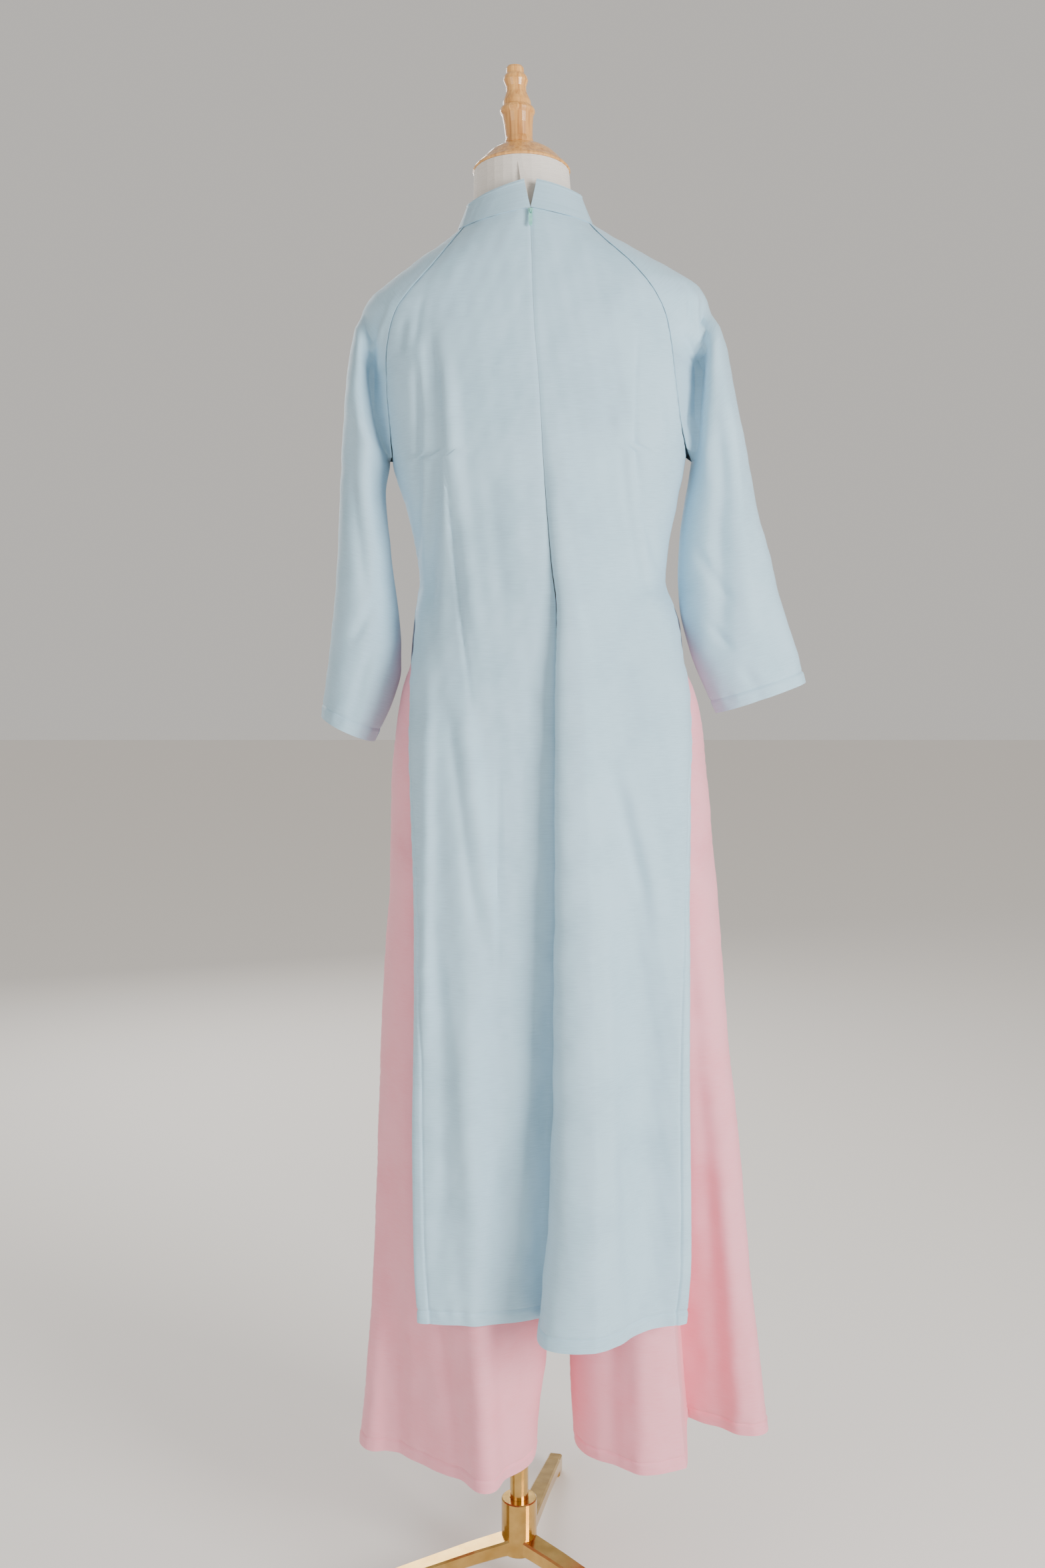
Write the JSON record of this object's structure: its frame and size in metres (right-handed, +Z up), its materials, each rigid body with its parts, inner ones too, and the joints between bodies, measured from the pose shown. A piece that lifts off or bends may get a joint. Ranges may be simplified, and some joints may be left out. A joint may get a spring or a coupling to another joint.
{
  "type": "ao dai on a dress form",
  "caption": "Long raglan-sleeved ao dai tunic split at the sides, worn over wide trousers on a limbless dress form with a wooden neck cap, a pole and a splayed base.",
  "frame": {"origin": "middle of the bounding box on the floor, under the base's feet", "axes": "+Z up, the garment's front faces -Y and its zipped back +Y, and the wearer's left is +X"},
  "size_m": [0.5764, 0.4464, 1.7637],
  "materials": {
    "tunic_cloth": "pale grey-blue satin-back crepe, soft sheen",
    "trouser_cloth": "pale pink crepe, matt with a slight sheen",
    "form_cloth": "off-white woven cover over a padded shell",
    "turned_wood": "clear varnished pale turned wood",
    "brass": "polished golden metal",
    "zip_pull_paint": "mint green painted zip slider and pull"
  },
  "bodies": {
    "stand_and_garment": {"back_left": "tunic_cloth", "back_right": "tunic_cloth", "front": "tunic_cloth", "sleeve_left": "tunic_cloth", "sleeve_right": "tunic_cloth", "collar": "tunic_cloth", "trouser_back_left": "trouser_cloth", "trouser_back_right": "trouser_cloth", "trouser_front_left": "trouser_cloth", "trouser_front_right": "trouser_cloth", "waistband": "trouser_cloth", "zip_slider": "zip_pull_paint", "form_body": "form_cloth", "neck_cap": "turned_wood", "finial": "turned_wood", "pole": "brass", "base": "brass"},
    "pull_tab": {"zip_pull": "zip_pull_paint"}
  },
  "joints": [
    {"name": "zip_pull_flip", "type": "hinge", "parent": "stand_and_garment", "child": "pull_tab", "pos_m": [0.02579, 0.10876, 1.59147], "axis": [1, 0, 0], "range_deg": [0, 150]}
  ]
}
